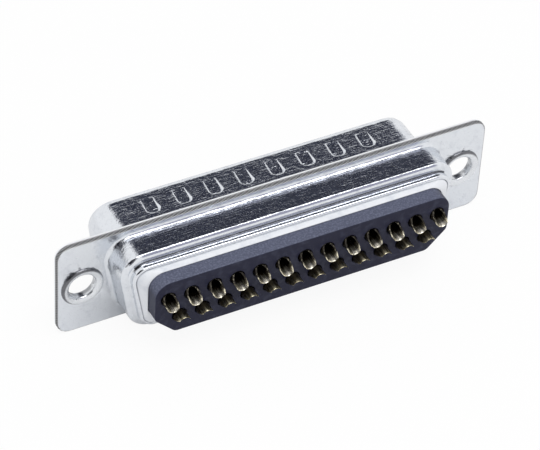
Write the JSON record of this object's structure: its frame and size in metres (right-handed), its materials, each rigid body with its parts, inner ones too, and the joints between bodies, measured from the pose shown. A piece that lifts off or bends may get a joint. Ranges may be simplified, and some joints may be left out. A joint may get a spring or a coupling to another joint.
{
  "type": "d-sub connector",
  "caption": "D-shaped cable connector plug with a flanged steel shell, a stepped rear boss and two staggered rows of solder cups.",
  "frame": {"origin": "middle of the flange between the two mounting holes, on the flange's front (mating) face", "axes": "+X along the flange, +Y out of the mating side, +Z towards the wider side of the D, the row with one more contact"},
  "size_m": [0.053, 0.0153, 0.0126],
  "materials": {
    "front_shell": "tin or nickel plated sheet, satin",
    "rear_shell": "tin or nickel plated sheet, satin",
    "eyelet": "plated, satin",
    "insulator": "moulded, black, slightly mottled",
    "collar": "moulded, white, matt",
    "contact": "pale gold flash over turned brass"
  },
  "bodies": {
    "root": {"front_shell": "front_shell", "rear_shell": "rear_shell", "left_eyelet": "eyelet", "right_eyelet": "eyelet", "front_insulator": "insulator", "rear_insulator": "insulator", "insulator_collar": "collar", "contact_01": "contact", "contact_02": "contact", "contact_03": "contact", "contact_04": "contact", "contact_05": "contact", "contact_06": "contact", "contact_07": "contact", "contact_08": "contact", "contact_09": "contact", "contact_10": "contact", "contact_11": "contact", "contact_12": "contact", "contact_13": "contact", "contact_14": "contact", "contact_15": "contact", "contact_16": "contact", "contact_17": "contact", "contact_18": "contact", "contact_19": "contact", "contact_20": "contact", "contact_21": "contact", "contact_22": "contact", "contact_23": "contact", "contact_24": "contact", "contact_25": "contact"}
  },
  "joints": []
}
